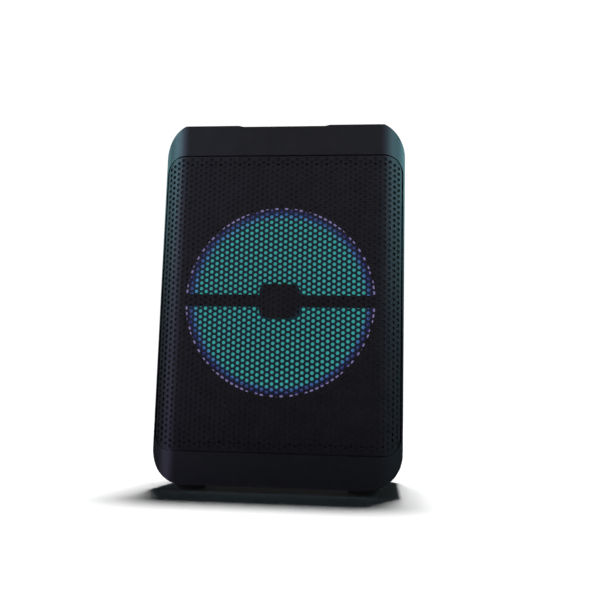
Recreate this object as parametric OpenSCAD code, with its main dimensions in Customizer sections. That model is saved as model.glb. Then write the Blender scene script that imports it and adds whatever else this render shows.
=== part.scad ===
// Party speaker: moulded cabinet, wrapped perforated grille, 8-inch woofer behind a lit window
// with a tweeter bridge, carry handle in the top and a recessed control panel at the back.
// Millimetres. +Z up, the front faces -Y, the origin is on the floor under the middle.

/* [Cabinet] */
// Width of the cabinet
body_w = 260; // [230:1:320]
// Height of the cabinet without its feet
body_h = 383; // [340:1:470]
// Depth of the cabinet
body_d = 220; // [200:1:270]
// Thickness of the moulded walls
wall = 3; // [2.4:0.1:3.4]
// Thickness of the back wall
back_wall = 4; // [3.6:0.1:6]
// Radius of the corners seen from the front
corner_r = 36.5; // [30:0.5:42]
// How far the flat top cuts into the rounded top corners
crown_cut = 3; // [1:0.5:5]
// Radius of the upright edges at the back
rear_r = 18; // [12:1:24]
// Radius on which the front bends back at each side
bend_r = 38; // [30:1:44]
// Angle through which the front bends back
bend_a = 46; // [36:1:50]
// Depth of the front half, from the face to the seam
front_d = 62; // [54:1:76]

/* [Handle] */
// Width of the dip in the top
dip_w = 89; // [80:1:110]
// Depth of the dip
dip_d = 1.2; // [0.8:0.1:2]
// Width of the hand well
well_w = 84; // [78:1:100]
// Length of the hand well from front to back
well_l = 84; // [76:1:90]
// Depth of the hand well
well_deep = 38; // [34:1:44]
// Width of the grip from front to back
grip_w = 27; // [22:1:32]
// Thickness of the grip
grip_t = 14; // [11:1:16]

/* [Grille] */
// Height of the plain bands above and below the grille
band_h = 35; // [30:1:45]
// Thickness of the grille sheet
grille_t = 1; // [0.8:0.1:1.4]
// Corner radius of the grille
grille_r = 18; // [12:1:24]
// Gap round the grille
groove = 1.6; // [1:0.1:2.4]
// Depth of the rebate that the grille lies in
rebate = 2; // [1.8:0.1:2.4]

/* [Window] */
// Diameter of the lit window
window_d = 201; // [186:1:206]
// Height of the bridge across the window
bridge_h = 12.5; // [9:0.5:16]
// Width of the tweeter housing
hub_w = 42.5; // [40:0.5:50]
// Height of the tweeter housing
hub_h = 35.5; // [34:0.5:42]
// Corner cut of the tweeter housing
hub_cut = 5; // [2:0.5:7]
// Number of lamps behind the light ring
lamps = 24; // [16:2:28]

/* [Woofer] */
// Diameter of the woofer frame
woofer_d = 203; // [196:1:208]
// Depth from the front face to the front of the woofer frame
woofer_t = 18.5; // [18:0.5:22]
// Diameter of the magnet
magnet_d = 90; // [80:1:100]
// Thickness of the magnet
magnet_h = 15; // [12:1:20]
// Travel of the cone to each side
cone_travel = 4; // [3:0.5:4]

/* [Feet] */
// Height of the feet under the cabinet
foot_h = 6; // [5:0.5:9]
// Diameter of the feet
foot_d = 33; // [28:1:36]
// Distance of the feet from the middle
foot_x = 90; // [80:1:92]
// Distance of the feet from the front and from the back
foot_in = 22; // [20:1:30]

/* [Control panel] */
// Width of the panel recess
panel_w = 190; // [184:1:200]
// Height of the panel recess
panel_h = 96; // [94:1:100]
// Depth of the panel recess
panel_deep = 16; // [16:1:20]
// Distance of the panel's middle below the top
panel_drop = 99; // [97:1:103]
// Diameter of the push buttons
button_d = 10; // [8:0.5:12]
// Travel of the push buttons
button_travel = 1.2; // [0.8:0.1:1.5]
// Diameter of the volume knob
volume_d = 24; // [20:1:26]
// Diameter of the smaller knobs
knob_d = 17; // [14:1:20]
// Tilt of the power rocker to each side
rocker_a = 8; // [5:1:10]

/* [Port] */
// Bore of the bass port
port_d = 50; // [40:1:54]
// Length of the bass port
port_l = 90; // [60:1:100]
// Height of the port's axis above the floor
port_z = 84; // [76:1:100]

/* [Hidden] */
$fn = 96;

fit = 0.3;            // clearance between pieces that are assembled
slide = 0.05;         // radial clearance of a shank in its pilot hole
proud = 1;            // how far a cut runs past a face

front_y = -body_d / 2;
back_y = body_d / 2;
seam_y = front_y + front_d;
bottom_z = foot_h;
top_z = foot_h + body_h;
axis_z = foot_h + body_h / 2;
flat_x = body_w / 2 - bend_r * sin(bend_a);
bend_y = front_y + bend_r;
corner_x = body_w / 2 - corner_r;
corner_low = bottom_z + corner_r;
corner_high = top_z + crown_cut - corner_r;
dip_ramp = 5;

// Grille and its seat
grille_set = 0.3;
grille_w = body_w - 6.4;
grille_h = body_h - 2 * band_h;
ledge_w = 8;
ledge_t = 3;
grille_back = grille_set + grille_t;
tape_gap = 0.05;

// Window ring, light ring and baffle, as depths behind the front face
ring_t0 = grille_back + 0.5;
ring_plate = 2.4;
window_r = window_d / 2;
skirt_r = window_r + 7;
skirt_wall = 3;
skirt_in = skirt_r - skirt_wall;
board_t = 1.6;
board_t1 = woofer_t - 4;
board_t0 = board_t1 - board_t;
diffuser_t0 = ring_t0 + ring_plate + fit;
diffuser_wall = 2;
light_in = window_r - 9.5;
lamp_r = window_r - 2.5;
lamp = 5;
lamp_h = 1.6;
frame_t = 1.5;
baffle_t0 = woofer_t + frame_t;
baffle_t = 8;
baffle_t1 = baffle_t0 + baffle_t;
ear_r = skirt_r + 5.5;
ear_end = 4.5;
ear_t = 3;
ear_up = 0.2;
EARS = [for (k = [0 : 5]) 30 + 60 * k];
pilot = 7;
bridge_rib = 4;
bridge_rib_w = 2;
hub_depth = 18;
tweeter_r = 14.7;
tweeter_open = 12;

// Woofer, as radii and as depths behind the front face
woofer_r = woofer_d / 2;
cutout_r = woofer_r - 10.5;
basket_r = cutout_r - 1;
lip_r = basket_r - 7;
bowl_r = 58;
bowl_t = 52;
cup_r = 51.5;
plate_t0 = 64;
plate_t = 5;
coil_r = 13.3;
former_wall = 0.4;
coil_wall = 0.6;
pole_r = coil_r - former_wall - 0.6;
gap_r = coil_r + coil_wall + 0.7;
magnet_t0 = plate_t0 + plate_t;
yoke_t0 = magnet_t0 + magnet_h;
yoke_t = 5;
roll_out = lip_r + 0.5;
roll_r = 5;
roll_in = roll_out - 2 * roll_r;
cone_r = roll_in - 0.2;
cone_t0 = woofer_t + 0.1;
cone_t1 = 45.8;
cone_wall = 1.2;
cap_r = 22;
cap_rise = 8;
screw_ring_r = woofer_r - 3.6;
WOOFER_SCREWS = [for (k = [0 : 7]) 22.5 + 45 * k];
WINDOWS = [for (k = [0 : 5]) 30 + 60 * k];
window_half_a = 20;

// Fasteners: shank, pilot, head radius and head height
shank_r = 1.5;
head_r = 3;
head_h = 2;
big_shank_r = 1.7;
big_head_r = 3.9;
big_head_h = 2.6;

// Strip in the seam between the two halves
seal_in = 0.9;
seal_w = 1.2;
seal_t = 1.5;

// Screw posts of the cabinet
post_r = 6;
post_reach = corner_r - wall - post_r + 0.5;
post_x = body_w / 2 - rear_r - big_head_r - 2;
post_rise = sqrt(post_reach * post_reach - (post_x - corner_x) * (post_x - corner_x));
post_low = corner_low - post_rise;
post_high = corner_high + post_rise;
post_rib = 4;
post_seat = 14;
post_bite = 24;
POSTS = [
    for (x = [-post_x, post_x]) for (z = [post_low, axis_z, post_high]) [x, z]
];
boss_x = 80;
boss_r = 5;
boss_pilot = 8;
BOSSES = [
    for (x = [-boss_x, 0, boss_x])
        for (z = [bottom_z + band_h / 2 + 3, top_z - band_h / 2 - 3]) [x, z]
];

// Feet, pressed by their stems into bosses of the cabinet
foot_seat = foot_h - 0.8;
foot_stem_r = 4;
foot_stem = 2.8;
foot_tread = 1.2;
foot_boss_h = wall + 2.6;
FEET = [
    for (x = [-foot_x, foot_x])
        for (y = [front_y + foot_in, back_y - foot_in]) [x, y]
];

// Hand well and grip
well_y = 10;
well_wall = 2.5;
well_r = 10;
well_top = top_z - dip_d;
well_seat = well_top - wall;
well_rim = 8;
well_rim_t = 3;
grip_screw_y = 7;
grip_screw_drop = 3;
grip_z = well_top - grip_t / 2;
grip_l = well_w - 2 * well_wall;
grip_edge = 5;

// Port
port_wall = 3;
port_flange = 9;
port_round = 2;

// Control panel: x and z of each thing on it, from the middle of the panel
panel_z = top_z - panel_drop;
plate = 2.5;
panel_wall = 2;
flange = 7;
flange_t = 2;
panel_face = back_y - panel_deep;
panel_back = panel_face - plate;
board_gap = 12;
amp_y = panel_back - board_gap;
amp_t = 1.6;
DISPLAY = [48, 25];
DISPLAY_SIZE = [66, 24];
lens_t = 1.2;
BUTTONS = [[-2, 25], [-20, 25], [-38, 25], [-56, 25], [-74, 25]];
VOLUME = [70, -9];
MIC = [34, -9];
ECHO = [4, -9];
ROCKER = [-70, -10];
rocker_w = 13;
rocker_h = 19;
MIC_JACKS = [[78, -36], [54, -36]];
mic_bore_r = 3.25;
mic_jack_r = 6;
mic_jack_l = 28;
AUX = [30, -36];
aux_bore_r = 1.8;
CHARGE = [-22, -36];
charge_bore_r = 2.9;
USB = [4, -36];
usb_w = 14.5;
usb_h = 7;
shaft_r = 3;
bush_r = 4.5;
bush_out = 1.2;
pot = 16;
pot_h = 8;
knob_h = 13;
knob_gap = 0.6;
button_out = 2;
switch_h = 5;
switch_top = amp_y + switch_h;
rocker_pin_r = 1.2;
rocker_pivot_y = panel_face - 1;
PANEL_SCREWS = [
    for (x = [-1, 0, 1]) for (z = [-1, 1])
        [x * (panel_w / 2 + flange / 2 - 4 * abs(x) + 0.4), z * (panel_h / 2 + flange / 2 + 0.2)]
];

// Heat sink, and the notch in the board for the microphone jacks
SINK = [-10, 8];
sink_w = 96;
sink_h = 44;
JACK_NOTCH = [66, -40];

// Battery, standing against the inside of the back wall
battery_x = -78;
battery_z = 96;
battery_w = 40;
battery_h = 74;
battery_t = 20;
cell_r = 9.2;

// Routes of the wires, as x, y and z: from the woofer's cup and from the tweeter's housing,
// through the skirt and the baffle, to the back of the amplifier board
wire_r = 1.1;
wire_t = 6.5;
wire_end_y = amp_y - amp_t - fit;
WOOFER_WIRES = [
    [cup_r + 0.4, front_y + 58.5, axis_z], [60, front_y + 59.5, axis_z + 1.5],
    [68, front_y + 70, axis_z + 10], [70, front_y + 90, axis_z + 18], [70, 0, axis_z + 24],
    [68, 20, panel_z - 58], [64, amp_y - 42, panel_z - 44], [60, amp_y - 24, panel_z - 30],
    [60, amp_y - 12, panel_z - 22], [60, wire_end_y, panel_z - 20]
];
TWEETER_WIRES = [
    [hub_w / 2 + 2, front_y + wire_t, axis_z], [34, front_y + wire_t, axis_z],
    [60, front_y + wire_t, axis_z], [skirt_r - 12, front_y + wire_t, axis_z],
    [skirt_r + 0.5, front_y + 7, axis_z], [skirt_r + 5, front_y + 10, axis_z + 1.5],
    [skirt_r + 6, front_y + 16, axis_z + 3.5], [skirt_r + 6, front_y + 24, axis_z + 5.5],
    [skirt_r + 6, front_y + 34, axis_z + 7.5], [skirt_r + 4, seam_y, axis_z + 10],
    [106, -20, axis_z + 18], [102, 10, panel_z - 58], [96, amp_y - 42, panel_z - 34],
    [88, amp_y - 22, panel_z - 14], [80, amp_y - 10, panel_z - 4],
    [78, wire_end_y, panel_z - 2]
];

// ---------- outlines ----------

module front_outline(i) {
    r = corner_r - i;
    difference() {
        union() {
            for (x = [-corner_x, corner_x]) {
                translate([x, corner_low]) circle(r);
                translate([x, corner_high]) circle(r);
            }
            translate([-(body_w / 2 - i), corner_low])
                square([body_w - 2 * i, corner_high - corner_low]);
            translate([-corner_x, bottom_z + i]) square([2 * corner_x, body_h - 2 * i]);
        }
        translate([-body_w / 2, top_z - i]) square([body_w, corner_r]);
        polygon([
            [-dip_w / 2 - dip_ramp, top_z - i], [-dip_w / 2, top_z - i - dip_d],
            [dip_w / 2, top_z - i - dip_d], [dip_w / 2 + dip_ramp, top_z - i],
            [dip_w / 2 + dip_ramp, top_z + proud], [-dip_w / 2 - dip_ramp, top_z + proud]
        ]);
    }
}

module plan_outline(i) {
    half = body_w / 2 - i;
    rear_x = body_w / 2 - rear_r;
    intersection() {
        union() {
            translate([-half, front_y - proud]) square([2 * half, body_d - rear_r + proud]);
            translate([-rear_x, front_y - proud]) square([2 * rear_x, body_d - i + proud]);
            for (x = [-rear_x, rear_x]) translate([x, back_y - rear_r]) circle(rear_r - i);
        }
        union() {
            translate([-flat_x, front_y + i]) square([2 * flat_x, body_d]);
            translate([-body_w / 2 - proud, bend_y]) square([body_w + 2 * proud, body_d]);
            for (x = [-flat_x, flat_x]) translate([x, bend_y]) circle(bend_r - i);
        }
    }
}

module round_rect(w, h, r) {
    square([w - 2 * r, h], center = true);
    square([w, h - 2 * r], center = true);
    for (x = [-1, 1]) for (z = [-1, 1])
        translate([x * (w / 2 - r), z * (h / 2 - r)]) circle(r);
}

module cut_corners(w, h, c) {
    polygon([
        [-w / 2 + c, -h / 2], [w / 2 - c, -h / 2], [w / 2, -h / 2 + c], [w / 2, h / 2 - c],
        [w / 2 - c, h / 2], [-w / 2 + c, h / 2], [-w / 2, h / 2 - c], [-w / 2, -h / 2 + c]
    ]);
}

// ---------- placing ----------

// A front-view outline as a slab between two values of y
module slab(y0, y1) {
    translate([0, y1, 0]) rotate([90, 0, 0]) linear_extrude(y1 - y0) children();
}

// Turned pieces on the woofer's axis, with z as the depth behind the front face
module on_axis() {
    translate([0, front_y, axis_z]) rotate([-90, 0, 0]) children();
}

// A rod along Y
module rod(x, z, y0, y1, r) {
    translate([x, y0, z]) rotate([-90, 0, 0]) cylinder(h = y1 - y0, r = r);
}

// The cabinet's form, inset by i, between two values of y
module cabinet(i, y0, y1) {
    intersection() {
        slab(y0, y1) front_outline(i);
        linear_extrude(top_z + 2 * proud) plan_outline(i);
    }
}

// A sheet that follows the bent front between two depths
module front_sheet(i0, i1) {
    translate([0, 0, bottom_z]) linear_extrude(body_h) intersection() {
        difference() {
            plan_outline(i0);
            plan_outline(i1);
        }
        translate([-body_w, front_y - proud]) square([2 * body_w, bend_r]);
    }
}

module grille_outline(grow) {
    translate([0, axis_z])
        round_rect(grille_w + 2 * grow, grille_h + 2 * grow, grille_r + grow);
}

// A screw along Y with its head at the back (dir 1) or at the front (dir -1)
module screw(x, z, y, length, dir, r = shank_r, hr = head_r, hh = head_h) {
    translate([x, y, z]) rotate([-90 * dir, 0, 0]) difference() {
        union() {
            cylinder(h = hh, r = hr);
            translate([0, 0, -length]) cylinder(h = length + hh / 2, r = r);
        }
        for (a = [0, 90]) rotate(a) translate([-hr * 0.6, -0.35, hh * 0.4]) cube([hr * 1.2, 0.7, hh]);
    }
}

module tube(points, r) {
    function blend(a, b, c, d, t) =
        0.5 * ((2 * b) + (c - a) * t + (2 * a - 5 * b + 4 * c - d) * t * t
               + (3 * b - a - 3 * c + d) * t * t * t);
    last = len(points) - 1;
    steps = 3;
    sides = 8;
    path = [
        for (i = [0 : last - 1]) for (s = [0 : steps - 1])
            blend(points[max(i - 1, 0)], points[i], points[i + 1], points[min(i + 2, last)],
                  s / steps),
        points[last]
    ];
    n = len(path);
    function unit(v) = v / norm(v);
    function along(k) = unit(path[min(k + 1, n - 1)] - path[max(k - 1, 0)]);
    function side(k) = unit(cross(along(k), [0, 0.2, 1]));
    ring = [
        for (k = [0 : n - 1]) for (j = [0 : sides - 1])
            path[k] + r * (side(k) * cos(360 * j / sides)
                           + cross(along(k), side(k)) * sin(360 * j / sides))
    ];
    faces = concat(
        [[for (j = [0 : sides - 1]) j]],
        [for (k = [0 : n - 2]) for (j = [0 : sides - 1])
            [k * sides + j, (k + 1) * sides + j,
             (k + 1) * sides + (j + 1) % sides, k * sides + (j + 1) % sides]],
        [[for (j = [sides - 1 : -1 : 0]) (n - 1) * sides + j]]
    );
    polyhedron(points = ring, faces = faces);
}

// ---------- cabinet ----------

module foot_boss(p) {
    translate([p[0], p[1], foot_seat]) cylinder(h = foot_boss_h, r = foot_d / 2 + 0.5);
}

module foot_hole(p) {
    translate([p[0], p[1], foot_seat - proud])
        cylinder(h = wall + 2 * proud, r = foot_stem_r + slide);
}

// The screw posts, the middle pair with ribs to the side walls
module posts(y0, y1) {
    intersection() {
        cabinet(0, y0, y1);
        union() {
            for (p = POSTS) rod(p[0], p[1], y0, y1, post_r);
            for (x = [-1, 1])
                translate([x * (body_w / 4 + post_x / 2), (y0 + y1) / 2, axis_z])
                    cube([body_w / 2 - post_x - 1, y1 - y0, post_rib], center = true);
        }
    }
}

module front_bezel() color([0.03, 0.035, 0.045]) difference() {
    union() {
        difference() {
            cabinet(0, front_y, seam_y);
            cabinet(wall, front_y, seam_y + proud);
        }
        intersection() {
            front_sheet(wall - 0.5, rebate + ledge_t);
            slab(front_y - proud, front_y + baffle_t0 - 2) grille_outline(6);
        }
        for (b = BOSSES) rod(b[0], b[1], front_y + wall / 2, front_y + baffle_t0, boss_r);
        posts(front_y + baffle_t1 + 0.5, seam_y);
        for (p = FEET) if (p[1] < seam_y) foot_boss(p);
    }
    intersection() {
        front_sheet(-proud, rebate);
        slab(front_y - 2 * proud, bend_y) grille_outline(groove);
    }
    slab(front_y - 2 * proud, bend_y) grille_outline(-ledge_w);
    for (b = BOSSES)
        rod(b[0], b[1], front_y + boss_pilot, front_y + baffle_t0 + proud, shank_r + slide);
    for (p = POSTS)
        rod(p[0], p[1], front_y + baffle_t1 + 2, seam_y + proud, big_shank_r + slide);
    for (p = FEET) if (p[1] < seam_y) foot_hole(p);
    seal_ring(0.1, seam_y + proud);
}

// The strip in the seam lies in a groove of the front half
module seal_ring(gap, end_y) {
    difference() {
        cabinet(seal_in - gap, seam_y - seal_t - gap, end_y);
        cabinet(seal_in + seal_w + gap, seam_y - seal_t - gap - proud, end_y + proud);
    }
}

module cabinet_seal() color([0.05, 0.05, 0.05]) seal_ring(0, seam_y);

module rear_shell() color([0.03, 0.035, 0.045]) difference() {
    union() {
        difference() {
            cabinet(0, seam_y, back_y);
            cabinet(wall, seam_y - proud, back_y - back_wall);
        }
        posts(seam_y, back_y - 1);
        for (p = FEET) if (p[1] > seam_y) foot_boss(p);
        battery_cradle();
    }
    for (p = POSTS) {
        rod(p[0], p[1], seam_y - proud, back_y, big_shank_r + 0.5);
        rod(p[0], p[1], seam_y + post_seat, back_y + proud, big_head_r + 0.5);
    }
    for (p = FEET) if (p[1] > seam_y) foot_hole(p);
    translate([0, well_y, well_seat - proud]) linear_extrude(wall + dip_d + 3 * proud)
        round_rect(well_w, well_l, well_r);
    slab(back_y - back_wall - proud, back_y + proud) translate([0, panel_z])
        round_rect(panel_w + 2 * fit, panel_h + 2 * fit, 6 + fit);
    slab(back_y - flange_t - 0.2, back_y + proud) translate([0, panel_z])
        round_rect(panel_w + 2 * flange + 2 * fit, panel_h + 2 * flange + 2 * fit, 9 + fit);
    for (s = PANEL_SCREWS)
        rod(s[0], panel_z + s[1], back_y - back_wall - proud, back_y, shank_r + slide);
    rod(0, port_z, back_y - back_wall - proud, back_y + proud, port_d / 2 + port_wall + fit);
    rod(0, port_z, back_y - flange_t - 0.2, back_y + proud, port_d / 2 + port_flange + fit);
}

module battery_cradle() {
    translate([battery_x, back_y - back_wall + 0.5, battery_z]) rotate([90, 0, 0])
        linear_extrude(9) difference() {
            square([battery_w + 5, battery_h + 5], center = true);
            square([battery_w + 2 * fit, battery_h + 2 * fit], center = true);
            square([battery_w - 14, battery_h + 20], center = true);
            square([battery_w + 20, battery_h - 24], center = true);
        }
}

module cabinet_screws() color([0.2, 0.2, 0.21]) for (p = POSTS)
    screw(p[0], p[1], seam_y + post_seat, post_seat + post_bite, 1,
          big_shank_r, big_head_r, big_head_h);

module feet() color([0.06, 0.06, 0.06]) for (p = FEET) translate([p[0], p[1], 0]) {
    difference() {
        union() {
            cylinder(h = foot_tread, r1 = foot_d / 2 - 1.8, r2 = foot_d / 2 - 1);
            translate([0, 0, foot_tread])
                cylinder(h = foot_seat - foot_tread, r1 = foot_d / 2 - 1, r2 = foot_d / 2);
            cylinder(h = foot_seat + foot_stem, r = foot_stem_r);
        }
        translate([0, 0, -proud]) difference() {
            cylinder(h = proud + 1, r = foot_d / 2 - 5);
            cylinder(h = proud + 1, r = 6);
        }
    }
}

// ---------- grille and window ----------

module front_grille() color([0.05, 0.06, 0.08]) intersection() {
    front_sheet(grille_set, grille_back);
    slab(front_y - proud, bend_y) grille_outline(0);
}

module grille_tape() color([0.02, 0.02, 0.02]) intersection() {
    front_sheet(grille_back + tape_gap, rebate - tape_gap);
    difference() {
        slab(front_y - proud, bend_y) grille_outline(-1);
        slab(front_y - 2 * proud, bend_y + proud) grille_outline(1 - ledge_w);
    }
}

module window_ring() color([0.02, 0.02, 0.025]) on_axis() difference() {
    union() {
        rotate_extrude() polygon([
            [window_r, ring_t0], [skirt_r - 1.5, ring_t0], [skirt_r, ring_t0 + 1.5],
            [skirt_r, baffle_t0], [skirt_in, baffle_t0], [skirt_in, ring_t0 + ring_plate],
            [window_r, ring_t0 + ring_plate]
        ]);
        for (a = EARS) rotate(a) translate([0, 0, baffle_t0 - ear_t - ear_up]) {
            translate([ear_r, 0, 0]) cylinder(h = ear_t, r = ear_end);
            translate([skirt_r - skirt_wall / 2, -ear_end, 0])
                cube([ear_r - skirt_r + skirt_wall / 2, 2 * ear_end, ear_t]);
        }
        translate([-window_r - 1, -bridge_h / 2, ring_t0])
            cube([2 * window_r + 2, bridge_h, ring_plate]);
        for (s = [-1, 1])
            translate([-window_r - 1, (s * (bridge_h - bridge_rib_w) - bridge_rib_w) / 2, ring_t0])
                cube([2 * window_r + 2, bridge_rib_w, ring_plate + bridge_rib]);
        translate([0, 0, ring_t0]) linear_extrude(hub_depth)
            cut_corners(hub_w, hub_h, hub_cut);
    }
    translate([0, 0, ring_t0 + ring_plate]) cylinder(h = hub_depth, r = tweeter_r + 0.1);
    translate([0, 0, ring_t0 - proud]) cylinder(h = hub_depth, r = tweeter_open);
    for (a = EARS) rotate(a)
        translate([ear_r, 0, baffle_t0 - ear_t - proud])
            cylinder(h = ear_t + 2 * proud, r = shank_r + fit);
    // way out of the hub and of the skirt for the tweeter's wires
    translate([tweeter_r - 1, 0, wire_t]) rotate([0, 90, 0])
        cylinder(h = hub_w, r = wire_r + 0.5);
    translate([skirt_in - 2, 0, wire_t]) rotate([0, 90, 0])
        cylinder(h = skirt_wall + 4, r = wire_r + 0.6);
}

module window_ring_screws() color([0.2, 0.2, 0.21]) for (a = EARS)
    screw(ear_r * cos(a), axis_z + ear_r * sin(a), front_y + baffle_t0 - ear_t - ear_up,
          ear_t + pilot - 1, -1);

module tweeter_frame() color([0.1, 0.1, 0.1]) on_axis() rotate_extrude() polygon([
    [10.2, ring_t0 + ring_plate], [tweeter_r, ring_t0 + ring_plate],
    [tweeter_r, ring_t0 + ring_plate + 9], [11.5, ring_t0 + ring_plate + 9],
    [11.5, ring_t0 + ring_plate + 2], [10.2, ring_t0 + ring_plate + 2]
]);

module tweeter_dome() color([0.03, 0.03, 0.03]) on_axis() {
    t = ring_t0 + ring_plate + 2.1;
    rise = 4;
    ball = (9.8 * 9.8 + rise * rise) / (2 * rise);
    rotate_extrude() difference() {
        intersection() {
            translate([0, t + ball - rise]) circle(ball);
            translate([0, t - rise]) square([9.8, rise]);
        }
        translate([0, t + ball - rise]) circle(ball - 0.5);
    }
    translate([0, 0, t]) difference() {
        cylinder(h = 0.8, r = 11.3);
        translate([0, 0, -proud]) cylinder(h = 3 * proud, r = 9.2);
    }
}

module tweeter_magnet() color([0.3, 0.3, 0.32]) on_axis() {
    t = ring_t0 + ring_plate + 3.1;
    translate([0, 0, t]) cylinder(h = 3, r = 8.6);
    translate([0, 0, t + 3]) cylinder(h = ring_t0 + hub_depth - t - 3, r = 11.2);
}

module tweeter_cover() color([0.02, 0.02, 0.025]) on_axis()
    translate([0, 0, ring_t0 + hub_depth]) linear_extrude(2)
        cut_corners(hub_w - 1, hub_h - 1, hub_cut);

module led_diffuser() color([0.75, 0.85, 0.95]) on_axis() difference() {
    rotate_extrude() polygon([
        [light_in, diffuser_t0], [skirt_in - fit, diffuser_t0], [skirt_in - fit, board_t0],
        [skirt_in - fit - diffuser_wall, board_t0],
        [skirt_in - fit - diffuser_wall, diffuser_t0 + diffuser_wall],
        [light_in + 1.6, diffuser_t0 + diffuser_wall], [light_in + 1.6, board_t0],
        [light_in, board_t0]
    ]);
    translate([-body_w, -bridge_h / 2 - fit, 0])
        cube([2 * body_w, bridge_h + 2 * fit, board_t0 + proud]);
}

module led_board() color([0.85, 0.88, 0.85]) on_axis() difference() {
    translate([0, 0, board_t0]) cylinder(h = board_t, r = skirt_in - fit);
    translate([0, 0, board_t0 - proud]) cylinder(h = board_t + 2 * proud, r = light_in);
}

module leds() color([0.95, 0.95, 0.9]) on_axis() for (k = [0 : lamps - 1])
    rotate(360 * (k + 0.5) / lamps) translate([lamp_r - lamp / 2, -lamp / 2, board_t0 - lamp_h])
        cube([lamp, lamp, lamp_h]);

module baffle() color([0.05, 0.05, 0.05]) difference() {
    cabinet(wall + 0.4, front_y + baffle_t0, front_y + baffle_t1);
    rod(0, axis_z, front_y, front_y + baffle_t1 + proud, cutout_r);
    for (b = BOSSES) rod(b[0], b[1], front_y, front_y + baffle_t1 + proud, shank_r + fit);
    for (a = EARS)
        rod(ear_r * cos(a), axis_z + ear_r * sin(a), front_y, front_y + baffle_t0 + pilot,
            shank_r + slide);
    for (a = WOOFER_SCREWS)
        rod(screw_ring_r * cos(a), axis_z + screw_ring_r * sin(a), front_y,
            front_y + baffle_t0 + pilot, shank_r + slide);
    rod(TWEETER_WIRES[7][0], TWEETER_WIRES[7][2], front_y, front_y + baffle_t1 + proud, 4);
    for (p = FEET) translate([p[0], p[1], 0])
        cylinder(h = foot_seat + foot_boss_h + 1.4, r = foot_d / 2 + 1.5);
}

module baffle_screws() color([0.2, 0.2, 0.21]) for (b = BOSSES)
    screw(b[0], b[1], front_y + baffle_t1, baffle_t + 10, 1);

// ---------- woofer ----------

module woofer_basket() color([0.15, 0.15, 0.16]) difference() {
    on_axis() difference() {
        rotate_extrude() polygon([
            [woofer_r, woofer_t], [woofer_r, baffle_t0], [basket_r, baffle_t0], [bowl_r, bowl_t],
            [bowl_r, bowl_t + frame_t], [cup_r, bowl_t + frame_t], [cup_r, plate_t0],
            [20, plate_t0], [20, plate_t0 - frame_t], [cup_r - frame_t, plate_t0 - frame_t],
            [cup_r - frame_t, bowl_t + frame_t], [cup_r - 4.5, bowl_t + frame_t],
            [cup_r - 4.5, bowl_t], [bowl_r - 2, bowl_t], [basket_r - 2, baffle_t0],
            [lip_r, baffle_t0], [lip_r, woofer_t]
        ]);
        for (a = WINDOWS) rotate(a) translate([0, 0, baffle_t0 + 6])
            linear_extrude(bowl_t - baffle_t0 - 10) difference() {
                polygon([
                    [0, 0], woofer_d / 2 * [1, -tan(window_half_a)],
                    woofer_d / 2 * [1, tan(window_half_a)]
                ]);
                circle(bowl_r - 4);
            }
        for (a = WOOFER_SCREWS) rotate(a)
            translate([screw_ring_r, 0, woofer_t - proud])
                cylinder(h = frame_t + 2 * proud, r = shank_r + fit);
    }
}

module woofer_screws() color([0.2, 0.2, 0.21]) for (a = WOOFER_SCREWS)
    screw(screw_ring_r * cos(a), axis_z + screw_ring_r * sin(a), front_y + woofer_t,
          frame_t + pilot - 1, -1);

module woofer_gasket() color([0.04, 0.04, 0.04]) on_axis() difference() {
    translate([0, 0, board_t1]) cylinder(h = woofer_t - 0.6 - board_t1, r = light_in + 2);
    translate([0, 0, board_t1 - proud]) cylinder(h = 6, r = roll_out + 1);
}

module surround() color([0.1, 0.35, 0.4]) on_axis() rotate_extrude() {
    translate([roll_out, woofer_t - 0.55]) square([light_in - roll_out, 0.5]);
    difference() {
        intersection() {
            translate([roll_out - roll_r, woofer_t - 0.05]) circle(roll_r + 0.05);
            translate([0, 0]) square([roll_out, woofer_t - 0.05]);
        }
        translate([roll_out - roll_r, woofer_t - 0.05]) circle(roll_r - 0.5);
    }
    translate([roll_in - 4, woofer_t - 0.55]) square([4.4, 0.5]);
}

module cone() color([0.15, 0.55, 0.6]) on_axis() rotate_extrude() polygon([
    [cone_r, cone_t0], [cone_r, cone_t0 + cone_wall], [coil_r + 0.05, cone_t1 + cone_wall * 1.2],
    [coil_r + 0.05, cone_t1], [cone_r - 3, cone_t0]
]);

function cone_front(r) = cone_t0 + (cone_r - 3 - r) / (cone_r - 3 - coil_r) * (cone_t1 - cone_t0);

module dust_cap() color([0.12, 0.4, 0.45]) on_axis() {
    t = cone_front(cap_r) - 0.1;
    ball = (cap_r * cap_r + cap_rise * cap_rise) / (2 * cap_rise);
    rotate_extrude() difference() {
        intersection() {
            translate([0, t + ball - cap_rise]) circle(ball);
            translate([0, t - cap_rise]) square([cap_r, cap_rise]);
        }
        translate([0, t + ball - cap_rise]) circle(ball - 0.8);
    }
}

module voice_coil() color([0.7, 0.4, 0.2]) on_axis() rotate_extrude() polygon([
    [coil_r - former_wall, cone_t1 - 3], [coil_r, cone_t1 - 3], [coil_r, plate_t0 - 5],
    [coil_r + coil_wall, plate_t0 - 5], [coil_r + coil_wall, plate_t0 + plate_t + 5],
    [coil_r - former_wall, plate_t0 + plate_t + 5]
]);

module spider() color([0.6, 0.5, 0.25]) on_axis() {
    t = bowl_t - 0.35;
    waves = [for (k = [0 : 8]) [20 + 3 * k, t + (k % 2 == 0 ? -1 : 0.6) * (k < 8 ? 1 : 0)]];
    under = [for (k = [8 : -1 : 0]) waves[k] - [0, 0.5]];
    rotate_extrude() polygon(concat(
        [[coil_r + 0.1, t]], waves, [[bowl_r - 5, t], [bowl_r - 5, t - 0.5]], under,
        [[coil_r + 0.1, t - 0.5]]
    ));
}

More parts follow.
